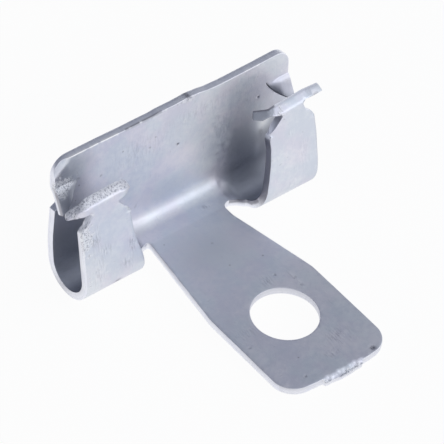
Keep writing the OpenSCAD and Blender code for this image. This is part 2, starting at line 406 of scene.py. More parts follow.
def outwardOf(loop, sign):
    # unit vectors that point out of the blank at each point of a loop
    ahead = np.roll(loop, -1, 0) - loop
    ahead /= np.linalg.norm(ahead, axis=1)[:, None]
    along = ahead + np.roll(ahead, 1, 0)
    along /= np.maximum(np.linalg.norm(along, axis=1), 1e-9)[:, None]
    return sign * np.stack([along[:, 1], -along[:, 0]], 1)


def inLoop(points, loop):
    inside = np.zeros(len(points), bool)
    nextLoop = np.roll(loop, -1, 0)
    for (x0, s0), (x1, s1) in zip(loop, nextLoop):
        if s0 == s1:
            continue
        crosses = (points[:, 1] < s0) != (points[:, 1] < s1)
        at = x0 + (points[:, 1] - s0) * (x1 - x0) / (s1 - s0)
        inside ^= crosses & (points[:, 0] < at)
    return inside


def distanceTo(points, targets):
    nearest = np.empty(len(points))
    for i in range(0, len(points), 2000):
        gap = points[i:i + 2000, None, :] - targets[None, :, :]
        nearest[i:i + 2000] = np.sqrt((gap ** 2).sum(2).min(1))
    return nearest


def gridIn(x0, x1, s0, s1, step):
    rows = np.arange(s0, s1, step * 0.87)
    points = []
    for i, s in enumerate(rows):
        xs = np.arange(x0 + (i % 2) * step / 2, x1, step)
        points.append(np.stack([xs, np.full(len(xs), s)], 1))
    return np.concatenate(points)


def blankPoints(loops):
    # Points inside the blank, closer together where the sheet bends
    steps = meshSteps
    zones = [(-11.2, 11.2, 17.0, 21.0, steps["bend"])]
    for side in (1, -1):
        near, far = sorted((side * 10.2, side * plateX))
        zones.append((near, far, 17.2, flapS + 0.4, steps["channel"]))
        near, far = sorted((side * creaseX, side * plateX))
        zones.append((near, far, creaseS - 0.3, creaseS + 1.6, steps["crimp"]))
        for out in (1, -1):
            fold = side * (halves[side]["neckMiddle"] + out * (sheet["foldLine"] + 0.35))
            zones.append((fold - 0.5, fold + 0.5, headS - 2.6, headS + 0.2, steps["crimp"]))
    for x, s, radius, _ in dents:
        reach = 2.2 * radius
        zones.append((x - reach, x + reach, s - reach, s + reach, steps["dent"]))
    plain = gridIn(-plateX, plateX, 0.0, tongueS(sheet["tongueReach"]) + 1, steps["plain"])
    sets = [(plain, steps["plain"])]
    for x0, x1, s0, s1, step in zones:
        kept = []
        for points, size in sets:
            if size > step:
                x, s = points[:, 0], points[:, 1]
                points = points[~((x > x0) & (x < x1) & (s > s0) & (s < s1))]
            kept.append((points, size))
        sets = kept + [(gridIn(x0, x1, s0, s1, step), step)]
    chosen = []
    for points, size in sets:
        points = points[inLoop(points, loops[0]) & ~inLoop(points, loops[1])]
        gap = distanceTo(points, np.concatenate(loops))
        chosen.append(points[gap > 0.6 * size])
    points = np.concatenate(chosen)
    return points[np.lexsort((points[:, 0], points[:, 1]))]


# How the real sheet departs from its ideal form: millimetres for the waves, the bows and the corner's
# width, and shares of the thickness for the rest; by side where the two hooks differ
setting = {
    "plateWave": 0.10,
    "plateRipple": 0.05,
    "legBow": {1: 0.2, -1: 0.5},
    "tongueBow": 0.12,
    "topBevelLess": {1: 0.2, -1: 0.5},  # share that the slope on a head loses towards its outer tooth
    "slopeDepth": 0.85,
    "nibTear": 0.75,
    "cornerWidth": 0.8,
    "cornerDepth": 0.42,
}


def bowOf(x, s):
    # how far the sheet stands off its ideal form, towards its front
    plate = unit(1 - s / 17)
    wave = setting["plateWave"] * np.sin(x / 7.5 + 0.6) * plate ** 1.5
    wave += setting["plateRipple"] * np.sin(x / 3.1 + s / 6) * plate
    leg = -bySide(x, setting["legBow"]) * rise(np.abs(x), 12, 8) * peak(s, 14.5, 4.5)
    tongue = setting["tongueBow"] * np.sin(unit((s - 21) / 36) * math.pi) * (np.abs(x) < 10)
    return wave + leg + tongue


def dentOf(x, s):
    depth = np.zeros(len(x))
    for x0, s0, radius, deep in dents:
        depth = np.maximum(depth, deep * near(x, s, x0, s0, radius, radius))
    return depth


def headTopLine(side):
    own = halves[side]
    corners = own["toothOuter"][2:] + own["headTop"] + own["toothInner"][:2]
    line = sorted((x, above) for x, above, _ in corners)
    return [x for x, _ in line], [above for _, above in line]


def upBevel(x, s):
    # how far up the slope along the top of a head, from 0 at its foot to 1 at the very top
    depth = ownOf(x, "topBevel") * (1 - bySide(x, setting["topBevelLess"]) * rise(np.abs(x), 19.3, 1.6))
    top = flapS + bySide(x, {k: np.interp(np.abs(x), *headTopLine(k)) for k in halves})
    return unit((s - top + depth) / depth) * (s > flapS + 8) * (np.abs(x) > 10)


def workedDown(x, s, share):
    # Where a point of the sheet lies between its back (-1) and its front (1) once it has been worked
    ragged = 0.22 * np.sin(4.6 * x + 1) * np.sin(1.9 * x)
    torn = rise(s + ragged, 56.6, 0.45) * (x > -3.5) * (x < 3.7)  # the nib on the tongue
    share = np.where(share > 0, share * (1 - setting["nibTear"] * torn), share)
    # the plate's left corner is hammered flat on the side towards the flange
    radius, width = halves[-1]["plateCorner"], setting["cornerWidth"]
    beside, below = np.clip(radius - plateX - x, 0, radius), np.clip(radius - s, 0, radius)
    struck = unit((np.hypot(beside, below) - radius + width) / width) ** 1.3
    struck *= rise(beside, 0, 1.5) * rise(below, 0, 1.5)
    share = share - (1 + share) * setting["cornerDepth"] * struck
    # the heads were sheared aslant from inside
    return share + (1 - share) * setting["slopeDepth"] * upBevel(x, s)


# Spots of wear and of painted light and shade by kind: the face that shows it (1 towards the flange, -1 the
# other one, 0 both), place on the blank, half width, half height and strength. Positive painted shade
# darkens, negative lightens.
wearAndLightSpots = {
    "paintedShade": [
        (1, 9.4, 21.0, 1.3, 1.6, 0.65), (1, -7.4, 19.4, 1.7, 1.5, 0.3),  # painted shade beside the slots; the left one dims the bend's highlight
        (1, 16.5, 11.5, 1.4, 1.8, -0.9), (1, 15.9, 15.8, 0.6, 1.6, -0.35),  # painted light behind the right neck, taking painted shade away
        # painted shade over the tongue and along the foot of the plate
        (1, -2.0, 28.0, 8.0, 6.0, 0.45), (1, 0.0, 15.5, 9.0, 2.5, 0.3),
    ],
    "scuffed": [
        (1, -20.2, 4.6, 1.6, 1.8, 0.9), (1, -18.6, 4.7, 1.9, 0.6, 0.55), (1, -18.0, 3.7, 1.6, 0.4, 0.4),
        (1, 0.0, 19.3, 9.0, 1.3, 0.2),  # the bend
        (-1, -20.6, flapS + 8.6, 1.6, 3.2, 0.75), (-1, 14.9, flapS + 11.2, 1.4, 1.6, 0.5),
        (1, 1.6, 57.4, 2.6, 0.5, 1.3), (1, -3.2, 57.1, 0.9, 0.6, 0.8), (0, 2.2, 0.0, 2.6, 0.8, 0.6),  # nibs
    ],
    # a nick at the bottom of the left hook, and a painted shadow in the gap between the plate and the right
    # hook's edge
    "pitsAndShadow": [(-1, -15.2, 27.5, 0.5, 0.3, 1.0), (1, 16.4, 13.5, 0.4, 1.0, 1.0)],
    # a painted reflection, pale, on the plate behind the right neck
    "burrAndSheen": [(1, 16.8, 11.5, 1.1, 1.4, 0.9)],
    "scratched": [
        (-1, -17.1, 33.9, 0.7, 0.7, 0.7), (-1, -12.6, 32.8, 0.6, 1.2, 0.9), (-1, -13.9, 30.2, 0.9, 0.7, 0.6),
        (-1, -19.0, 36.5, 0.9, 1.4, 0.6), (-1, -18.6, 31.0, 1.0, 3.0, 0.35), (-1, 16.5, 37.5, 0.45, 0.4, 0.5),
        (-1, 16.3, 28.8, 0.5, 0.45, 0.5), (-1, 18.8, 33.0, 1.2, 2.5, 0.2), (1, 5.6, 40.4, 0.3, 1.9, 0.9),
        (1, 1.8, 38.0, 0.8, 0.9, 0.7), (1, 3.6, 51.8, 1.7, 1.3, 0.6), (1, 0.6, 53.6, 1.3, 0.6, 0.6),
        (1, -5.1, 54.8, 0.5, 0.3, 0.8), (1, -6.5, 44.0, 2.5, 1.2, 0.35), (1, 4.2, 21.6, 0.7, 0.5, 0.8),
        (1, -6.0, 5.0, 5.0, 2.5, 0.25), (1, 9.0, 9.0, 2.0, 3.0, 0.25), (1, 6.0, 3.0, 5.0, 1.2, 0.3),
    ],
}

# Strength of the wear and the painted shade that follow an edge or a fold of the clip
edgeWearAndShade = {
    "topGap": 0.25,  # painted shade where the burr along the plate's top is missing
    "topShadeStretch": 0.9,
    "tongueLine": 0.16,
    "tongueEnd": 0.12,
    "holeWall": 0.22,
    "slotWall": 0.8,
    "neckTop": 0.85,
    "neckWall": 0.95,
    "neckScuff": 0.42,
    "leftFoot": 0.35,
    "leftPits": 0.45,
    "dartLower": {1: 0.3, -1: 0.8},
    "dartCrease": 0.4,
    "dartPits": 0.6,
    "headScuff": {1: 0.2, -1: 1.0},
    "flapScuff": 0.35,
}


def spotsOf(kind, x, s, share):
    total = np.zeros(len(x))
    for face, x0, s0, width, height, strength in wearAndLightSpots[kind]:
        total += (share * face >= 0) * strength * near(x, s, x0, s0, width, height)
    return total


def plateEdgeBurrAndShade(wear, x, s, crest):
    # the burr along the plate's top comes and goes: a painted glint on its dashes, painted shade on the
    # rounded edge between them
    topLine = crest * peak(s, 0, 0.2) * unit((20 - np.abs(x)) / 2)
    bright = (x < -9.8) | ((x > 12.8) & (x < 15.6))
    wander = 0.9 * np.sin(2.1 * x + 1.7 * np.sin(0.9 * x)) + 0.45 * np.sin(8.3 * x + 2 * np.sin(2.7 * x))
    dash = rise(wander + np.where(bright, 0.55, -1.3), -0.6, 1)
    through = (x > -8.6) & (x < -2.2)
    wear["burrAndSheen"] += topLine * dash
    wear["paintedShade"] += topLine * (1 - dash) * np.where(through, edgeWearAndShade["topShadeStretch"], edgeWearAndShade["topGap"])


def tongueWearAndShade(wear, x, s, share, crest, rim):
    # painted shade along the tongue's left edge, on the hole's wall, at the tongue's end and on the slot's
    # wall
    side = crest * (x < -6) * (s > 22) * (s < 57)
    wear["paintedShade"] += side * edgeWearAndShade["tongueLine"] * rise(np.sin(1.3 * s) * np.sin(0.37 * s + 1), -0.7, 1)
    wear["paintedShade"] += rim * (np.hypot(x, s - holeS) < 5.5) * edgeWearAndShade["holeWall"]
    wear["paintedShade"] += rim * (s > 54) * edgeWearAndShade["tongueEnd"]
    wear["paintedShade"] += rim * (share > 0.2) * (x > 7.6) * (x < 13) * (s > 22) * (s < 27) * edgeWearAndShade["slotWall"]
    wear["pitsAndShadow"] += rim * near(x, s, 2.5, 0, 0.35, 1)


def dartShade(wear, x, s, share):
    across = np.abs(x)
    dart = inDart(x, s) & (share > 0)
    toSlit = slitS(across) - s
    # painted shade over the lower part of each dart, under the right one's lip and below the left one's
    # crease, and painted shadow along the cut
    lower = rise(s, creaseS + 0.55, 0.7)
    underCut = (x > 0) * (1 - rise(toSlit, 0, 1.5)) * (1.1 - 0.5 * rise(across, 17.5, 3))
    wear["paintedShade"] += dart * lower * (bySide(x, edgeWearAndShade["dartLower"]) + underCut)
    wear["paintedShade"] += dart * (x < 0) * edgeWearAndShade["dartCrease"] * peak(s, creaseS + 0.4, 0.5)
    pits = ease(unit(1 - toSlit / 0.6)) * np.clip((plateX - across) / 2, 0.2, 1)
    wear["pitsAndShadow"] += dart * edgeWearAndShade["dartPits"] * pits


def hookWearAndShade(wear, x, s, share, rim):
    across, above = np.abs(x), s - flapS
    # painted shade inside the hooks, over all of the right hook's inner tooth, and lightly over the fronts
    # below the bend
    inside = rise(across, 8.5, 3) * rise(s, 6, 9)
    innerTooth = rise(x, 10, 0.3) * rise(above - x, -1.75, 0.15) * (above > 10.7)
    wear["paintedShade"] += np.where(share >= 1, inside, 0) + innerTooth + 0.12 * (share > 0) * (s > 23)
    # the slopes along the heads, and the left flap below its outer tooth
    slope = unit(2.5 * upBevel(x, s)) * (share < 0.9)
    wear["scuffed"] += bySide(x, edgeWearAndShade["headScuff"]) * slope
    outside = (share < 0) * (above > -4)
    wear["scuffed"] += outside * edgeWearAndShade["flapScuff"] * near(x, above, -20.5, 1, 1.2, 6)
    # painted shade on the sheared walls, with dark pits
    neckWall = rim & (x > 10) & (x < 15.6) & (above > -4) & (above < 11.6)
    wear["paintedShade"] += neckWall * edgeWearAndShade["neckTop"] * peak(above, 11.0, 0.7)
    lower = ease(unit((8.7 - above) / 0.5)) * rise(above, -4, 3)
    wear["paintedShade"] += neckWall * edgeWearAndShade["neckWall"] * lower
    wear["paintedShade"] += rim * edgeWearAndShade["leftFoot"] * near(x, above, -10.8, 0.5, 1.2, 1.8)
    wear["scuffed"] += neckWall * edgeWearAndShade["neckScuff"] * (above < 9)
    wear["pitsAndShadow"] += rim * near(x, above, 12.2, 7.5, 2, 0.45)
    wear["pitsAndShadow"] += rim * (x < -20) * edgeWearAndShade["leftPits"] * peak(s, 21.8, 1.9)


def wearAndLightOf(x, s, share, edge):
    # Where the wear and the painted light lie, from 0 to 1: painted shade, scuffs, pits with painted shadow,
    # the burr with a painted sheen, and scratches; edge marks the points at the outline
    wear = {kind: spotsOf(kind, x, s, share) for kind in wearAndLightSpots}
    crest = (share > 0.8) * edge
    rim = np.abs(share) < 1
    wear["pitsAndShadow"] += unit(dentOf(x, s) / 0.09) * (share > 0)
    plateEdgeBurrAndShade(wear, x, s, crest)
    tongueWearAndShade(wear, x, s, share, crest, rim)
    dartShade(wear, x, s, share)
    hookWearAndShade(wear, x, s, share, rim)
    return {kind: unit(values) for kind, values in wear.items()}


def blankLoops():
    # the outline and the hole, each with the directions that point out of the blank
    corners = halfOutline(1) + tongueNib[::-1] + halfOutline(-1)[::-1] + topNib
    outer = roundCorners(corners, meshSteps["edge"])
    turns = np.radians(np.arange(0, 360, 3.0))
    hole = np.array([0, holeS]) + sheet["holeRadius"] * np.stack([np.cos(turns), np.sin(turns)], 1)
    ahead = np.roll(outer, -1, 0)
    area = (outer[:, 0] * ahead[:, 1] - ahead[:, 0] * outer[:, 1]).sum()
    return [(outer, outwardOf(outer, math.copysign(1, area))), (hole, outwardOf(hole, -1))]


def fillBlank(points, inner):
    # triangles between the outline and the hole, whose points come first
    edges = []
    start = 0
    for loop in inner:
        edges += [(start + i, start + (i + 1) % len(loop)) for i in range(len(loop))]
        start += len(loop)
    flat = [Vector(p) for p in points.tolist()]
    verts, _, faces, origin, _, _ = delaunay_2d_cdt(flat, edges, [], 1, 1e-7)
    back = {i: ids[0] for i, ids in enumerate(origin) if ids}  # from the points given out to those given in
    print("blank:", len(points), "points,", len(verts), "after the triangles,", len(faces), "triangles")
    triangles = np.array([[back[i] for i in f] for f in faces if all(i in back for i in f)])
    centres = points[triangles].mean(1)
    holeInner = sheet["holeRadius"] - rimSection[0][0]
    fromHole = np.linalg.norm(centres - np.array([0, holeS]), axis=1)
    keep = fromHole > holeInner * math.cos(math.radians(1.5)) - 1e-4
    return triangles[keep & inLoop(centres, inner[0])]


def makeSheet():
    loops = blankLoops()
    inset = rimSection[0][0]

    def moveOut(offset, share):
        # along the tops of the heads the slope runs on to the far face
        moved = []
        for loop, out in loops:
            onTop = (upBevel(loop[:, 0], loop[:, 1]) > 0.7) & (out[:, 1] > 0.5)
            moved.append(loop + out * np.where(onTop, inset + 0.06 * (1 + share), offset)[:, None])
        return np.concatenate(moved)

    def raised(flatPoints, isLip, share):
        place, normal = foldSheet(flatPoints[:, 0], flatPoints[:, 1], isLip)
        x, s = flatPoints[:, 0], flatPoints[:, 1]
        stand = bowOf(x, s) + workedDown(x, s, share) * half - dentOf(x, s) * (share > 0)
        return layDown(place + normal * stand[:, None]) * 0.001

    inner = [loop + out * inset for loop, out in loops]
    points = np.concatenate(inner + [blankPoints(inner)])
    triangles = fillBlank(points, inner)
    (outer, _), (hole, _) = loops
    loopCount, count = len(outer) + len(hole), len(points)
    free = points[loopCount:]
    loopLips = np.concatenate([inDart(outer[:, 0], outer[:, 1]), np.zeros(len(hole), bool)])
    lip = np.concatenate([loopLips, inDart(free[:, 0], free[:, 1])])

    # the front, the back, and the rows of points round the sheared edge between them
    rows = [(moveOut(offset, share), share) for offset, share in rimSection[1:-1]]
    frontPoints = np.concatenate([moveOut(inset, 1.0), free])
    layers = [raised(frontPoints, lip, 1.0), raised(points, lip, -1.0)]
    layers += [raised(moved, loopLips, share) for moved, share in rows]
    flatAll = np.concatenate([points, points] + [moved for moved, _ in rows])
    shares = [np.full(count, 1.0), np.full(count, -1.0)] + [np.full(loopCount, share) for _, share in rows]
    shares = np.concatenate(shares)
    faces = [tuple(t) for t in triangles.tolist()]
    faces += [(a + count, c + count, b + count) for a, b, c in triangles.tolist()]
    sheetFaces = len(faces)
    rings = [0] + [2 * count + k * loopCount for k in range(len(rows))] + [count]
    for first, n in ((0, len(outer)), (len(outer), len(hole))):
        for upper, lower in zip(rings, rings[1:]):
            for i in range(n):
                a, b = first + i, first + (i + 1) % n
                faces.append((upper + a, upper + b, lower + b, lower + a))

    mesh = bpy.data.meshes.new("clip_sheet")
    mesh.from_pydata(np.concatenate(layers).tolist(), [], faces)
    atEdge = np.ones(len(flatAll), bool)
    atEdge[loopCount:count] = atEdge[count + loopCount:2 * count] = False
    for name, values in wearAndLightOf(flatAll[:, 0], flatAll[:, 1], shares, atEdge).items():
        mesh.attributes.new(name, "FLOAT", "POINT").data.foreach_set("value", values.astype(np.float32))
    sheared = (np.arange(len(faces)) >= sheetFaces).astype(np.float32)
    mesh.attributes.new("sheared", "FLOAT", "FACE").data.foreach_set("value", sheared)
    blank = np.column_stack([flatAll * 0.001, shares * half * 0.001]).astype(np.float32)
    mesh.attributes.new("blank", "FLOAT_VECTOR", "POINT").data.foreach_set("vector", blank.ravel())
    mesh.update()
    return mesh


def newObject(name, data):
    placed = bpy.data.objects.new(name, data)
    bpy.context.scene.collection.objects.link(placed)
    return placed


def newMaterial(name):
    material = bpy.data.materials.new(name)
    material.use_nodes = True
    return material, material.node_tree.nodes, material.node_tree.links


class NodeChain:
    # short ways to lay down nodes
    def __init__(self, nodes, links):
        self.nodes, self.links = nodes, links

    def plug(self, value, socket):
        if isinstance(value, bpy.types.NodeSocket):
            self.links.new(value, socket)
        else:
            socket.default_value = value

    def attribute(self, name, output="Fac"):
        node = self.nodes.new("ShaderNodeAttribute")
        node.attribute_name = name
        return node.outputs[output]

    def math(self, operation, a, b=0.0, clamp=False):
        node = self.nodes.new("ShaderNodeMath")
        node.operation = operation
        node.use_clamp = clamp
        self.plug(a, node.inputs[0])
        self.plug(b, node.inputs[1])
        return node.outputs[0]

    def times(self, a, b):
        return self.math("MULTIPLY", a, b)

    def noise(self, vector, scale, detail=2.0, roughness=0.5):
        node = self.nodes.new("ShaderNodeTexNoise")
        self.plug(vector, node.inputs["Vector"])
        node.inputs["Scale"].default_value = scale
        node.inputs["Detail"].default_value = detail
        node.inputs["Roughness"].default_value = roughness
        return node.outputs["Fac"]

    def stretched(self, vector, scale, turn=(0, 0, 0)):
        node = self.nodes.new("ShaderNodeMapping")
        self.plug(vector, node.inputs["Vector"])
        node.inputs["Scale"].default_value = scale
        node.inputs["Rotation"].default_value = turn
        return node.outputs[0]

    def spread(self, value, low, high, toLow=0.0, toHigh=1.0):
        node = self.nodes.new("ShaderNodeMapRange")
        node.interpolation_type = "SMOOTHSTEP"
        self.plug(value, node.inputs["Value"])
        numbers = {"From Min": low, "From Max": high, "To Min": toLow, "To Max": toHigh}
        for name, number in numbers.items():
            node.inputs[name].default_value = number
        return node.outputs["Result"]

    def blend(self, factor, a, b, kind="MIX"):
        node = self.nodes.new("ShaderNodeMix")
        node.data_type = "RGBA"
        node.blend_type = kind
        self.plug(factor, node.inputs[0])
        self.plug(a, node.inputs[6])
        self.plug(b, node.inputs[7])
        return node.outputs[2]

    def bump(self, height, distance, strength=1.0, normal=None):
        node = self.nodes.new("ShaderNodeBump")
        self.plug(height, node.inputs["Height"])
        node.inputs["Distance"].default_value = distance
        self.plug(strength, node.inputs["Strength"])
        if normal is not None:
            self.links.new(normal, node.inputs["Normal"])
        return node.outputs["Normal"]


# Plated zinc: pale blue-grey and satin, mottled by the bath, with small pits and drag marks, and with painted
# shade, shadow and sheen
zincFinish = {
    "pale": (0.775, 0.787, 0.845, 1),
    "deep": (0.660, 0.686, 0.775, 1),
    "warm": (1.015, 0.988, 1.0, 1),
    "cool": (0.985, 1.006, 1.0, 1),
    "shadeTint": (0.41, 0.43, 0.49, 1),
    "pitAndShadowTint": (0.22, 0.22, 0.26, 1),
    "scuffAndSheenPale": (0.93, 0.94, 0.97, 1),
    "scuffDeep": (0.30, 0.31, 0.37, 1),
    "satin": 0.45,
    "cloudScale": 140.0,
    "mottleScale": 1300.0,
    "grainScale": 4200.0,
    "speckScale": 3600.0,
    "bathScale": 210.0,
    "dragScale": 6000.0,
    "crossScale": 5200.0,
    "scratchScale": 4200.0,
    "pitScale": 360.0,
    "dragPale": 0.28,
    "dragDark": 0.25,
    "scratchPale": 0.7,
    "scratchDark": 0.65,
    "pinhole": 0.5,
    "scuff": 0.62,
    "fineBump": 0.00003,
    "scuffBump": 0.00009,
}


def zincFace():
    material, nodes, links = newMaterial("zinc_face")
    shader = nodes["Principled BSDF"]
    chain = NodeChain(nodes, links)
    place = nodes.new("ShaderNodeTexCoord").outputs["Object"]
    look = zincFinish
    cloud = chain.noise(place, look["cloudScale"], 3.0, 0.55)
    mottle = chain.noise(place, look["mottleScale"], 4.0, 0.6)
    grain = chain.noise(place, look["grainScale"], 2.0, 0.6)
    speck = chain.noise(place, look["speckScale"], 3.0, 0.75)
    tone = chain.math("ADD", chain.times(cloud, 0.6), chain.times(mottle, 0.4))
    color = chain.blend(chain.spread(tone, 0.36, 0.64), look["deep"], look["pale"])
    bath = chain.noise(chain.stretched(place, (1, 1, 1), (0.4, 0.9, 0.2)), look["bathScale"], 2.0, 0.5)
    bath = chain.blend(chain.spread(bath, 0.38, 0.62), look["warm"], look["cool"])
    color = chain.blend(1.0, color, bath, "MULTIPLY")

    # drag marks left by the tools, thin and long
    along, over = ((1.0, 0.08, 0.08), (0.3, 0.5, 0.9)), ((0.1, 1.0, 0.07), (0.2, 0.1, -0.5))
    drag = chain.noise(chain.stretched(place, *along), look["dragScale"], 2.0, 0.7)
    cross = chain.noise(chain.stretched(place, *over), look["crossScale"], 2.0, 0.7)
    marks = chain.math("ADD", chain.spread(drag, 0.66, 0.74), chain.spread(cross, 0.67, 0.75), True)
    color = chain.blend(chain.times(marks, look["dragPale"]), color, look["scuffAndSheenPale"])
    darkMarks = chain.math("ADD", chain.spread(drag, 0.33, 0.25), chain.spread(cross, 0.32, 0.24), True)
    color = chain.blend(chain.times(darkMarks, look["dragDark"]), color, look["scuffDeep"])

    blank = chain.stretched(chain.attribute("blank", "Vector"), (1.0, 0.2, 1.0), (0, 0, 0.3))
    lines = chain.noise(blank, look["scratchScale"], 2.0, 0.6)
    scratched = chain.attribute("scratched")
    deepLine = chain.times(scratched, chain.spread(lines, 0.53, 0.60))
    paleLine = chain.times(scratched, chain.spread(lines, 0.45, 0.39))
    color = chain.blend(chain.times(deepLine, look["scratchDark"]), color, look["scuffDeep"])
    color = chain.blend(chain.times(paleLine, look["scratchPale"]), color, look["scuffAndSheenPale"])

    # pinholes of the plating, and the dents, pits and painted shadows marked on the sheet
    cell = nodes.new("ShaderNodeTexVoronoi")
    chain.plug(place, cell.inputs["Vector"])
    cell.inputs["Scale"].default_value = look["pitScale"]
    hole = chain.spread(cell.outputs["Distance"], 0.075, 0.03)
    chosen = nodes.new("ShaderNodeSeparateColor")
    links.new(cell.outputs["Color"], chosen.inputs[0])
    hole = chain.times(hole, chain.math("GREATER_THAN", chosen.outputs[0], 0.62))
    darkSpot = chain.times(chain.attribute("pitsAndShadow"), chain.spread(speck, 0.36, 0.56, 0.35, 1.0))
    hole = chain.math("MAXIMUM", chain.times(hole, look["pinhole"]), darkSpot)
    color = chain.blend(hole, color, look["pitAndShadowTint"])

    # rubbed burrs and a painted sheen made pale, and painted shade inside the hooks and in the other shaded
    # places
    color = chain.blend(chain.attribute("burrAndSheen"), color, look["scuffAndSheenPale"])
    paintedShade = chain.times(chain.attribute("paintedShade"), chain.spread(cloud, 0.2, 0.6, 0.85, 1.0))
    color = chain.blend(paintedShade, color, look["shadeTint"])

    # rough, speckled zinc where the clip was struck and torn
    uneven = chain.times(chain.math("SUBTRACT", mottle, 0.5), 1.3)
    rough = chain.spread(chain.math("ADD", chain.attribute("scuffed"), uneven), 0.32, 0.62)
    speckled = chain.blend(chain.spread(speck, 0.38, 0.52), look["scuffDeep"], look["scuffAndSheenPale"])
    color = chain.blend(chain.times(rough, look["scuff"]), color, speckled)
    links.new(color, shader.inputs["Base Color"])

    satin = chain.math("ADD", chain.spread(mottle, 0.3, 0.7, look["satin"] - 0.04, look["satin"] + 0.05),
                       chain.times(rough, 0.14))
    links.new(chain.math("ADD", satin, chain.times(paintedShade, 0.08)), shader.inputs["Roughness"])
    shader.inputs["Metallic"].default_value = 1.0
    height = chain.math("ADD", chain.times(mottle, 0.6), chain.times(grain, 0.22))
    height = chain.math("SUBTRACT", height, chain.times(marks, 0.1))
    height = chain.math("SUBTRACT", height, chain.times(deepLine, 0.5))
    normal = chain.bump(height, look["fineBump"])
    normal = chain.bump(speck, look["scuffBump"], rough, normal)
    links.new(normal, shader.inputs["Normal"])
    return material


# Sheared metal: paler and rougher than the faces, with upright tear lines, a bright burr with a painted
# glint, and painted shade and shadow
shearFinish = {
    "pale": (0.93, 0.94, 1.0, 1),
    "deep": (0.85, 0.865, 0.955, 1),
    "break": (0.58, 0.58, 0.66, 1),
    "burrAndSheen": (1.0, 1.0, 1.0, 1),
    "shadeTint": (0.30, 0.30, 0.345, 1),
    "tearScale": 7000.0,
    "cloudScale": 420.0,
    "satin": 0.40,
    "breakDepth": 0.0002,  # of the line behind the middle of the sheet
    "breakWander": 0.0007,
    "scuff": 0.65,
    "tearBump": 0.000012,
}


def shearedEdge():
    material, nodes, links = newMaterial("sheared_edge")
    shader = nodes["Principled BSDF"]
    chain = NodeChain(nodes, links)
    look = shearFinish
    place = nodes.new("ShaderNodeTexCoord").outputs["Object"]
    blank = chain.attribute("blank", "Vector")
    tears = chain.noise(chain.stretched(blank, (1.0, 1.0, 0.12)), look["tearScale"], 3.0, 0.65)
    speck = chain.noise(place, zincFinish["speckScale"], 3.0, 0.75)
    cloud = chain.noise(place, look["cloudScale"], 3.0, 0.6)
    tone = chain.math("ADD", chain.times(tears, 0.35), chain.times(cloud, 0.65))
    color = chain.blend(chain.spread(tone, 0.34, 0.62), look["deep"], look["pale"])
    # a thin uneven line where the shear stopped cutting and the sheet broke off
    level = nodes.new("ShaderNodeSeparateXYZ")
    links.new(blank, level.inputs[0])
    wander = chain.times(chain.math("SUBTRACT", cloud, 0.5), look["breakWander"])
    away = chain.math("ADD", chain.math("ADD", level.outputs[2], look["breakDepth"]), wander)
    line = chain.spread(chain.math("ABSOLUTE", away), 0.00008, 0.00002)
    broken = chain.times(line, chain.spread(tears, 0.4, 0.6, 0.1, 0.5))
    color = chain.blend(broken, color, look["break"])
    rough = chain.spread(chain.attribute("scuffed"), 0.25, 0.6)
    speckled = chain.blend(chain.spread(speck, 0.38, 0.52), zincFinish["scuffDeep"], zincFinish["scuffAndSheenPale"])
    color = chain.blend(chain.times(rough, look["scuff"]), color, speckled)
    # painted shade, then the pits and painted shadows, then the burr's painted glint
    color = chain.blend(chain.attribute("paintedShade"), color, look["shadeTint"])
    darkSpot = chain.times(chain.attribute("pitsAndShadow"), chain.spread(speck, 0.36, 0.56, 0.5, 1.0))
    color = chain.blend(darkSpot, color, zincFinish["pitAndShadowTint"])
    color = chain.blend(chain.attribute("burrAndSheen"), color, look["burrAndSheen"])
    links.new(color, shader.inputs["Base Color"])
    shader.inputs["Metallic"].default_value = 0.9
    satin = chain.spread(tears, 0.3, 0.7, look["satin"] - 0.05, look["satin"] + 0.1)
    links.new(satin, shader.inputs["Roughness"])
    normal = chain.bump(tears, look["tearBump"])
    normal = chain.bump(speck, zincFinish["scuffBump"], rough, normal)
    links.new(normal, shader.inputs["Normal"])
    return material


# Relief of the plating: a slow ripple over the whole sheet and coarse grains where it is scuffed
relief = {
    "Ripple Height": 0.00002,
    "Ripple Size": 450.0,
    "Grain Height": 0.00006,
    "Grain Size": 2200.0,
    "Seed": 7.0,
}


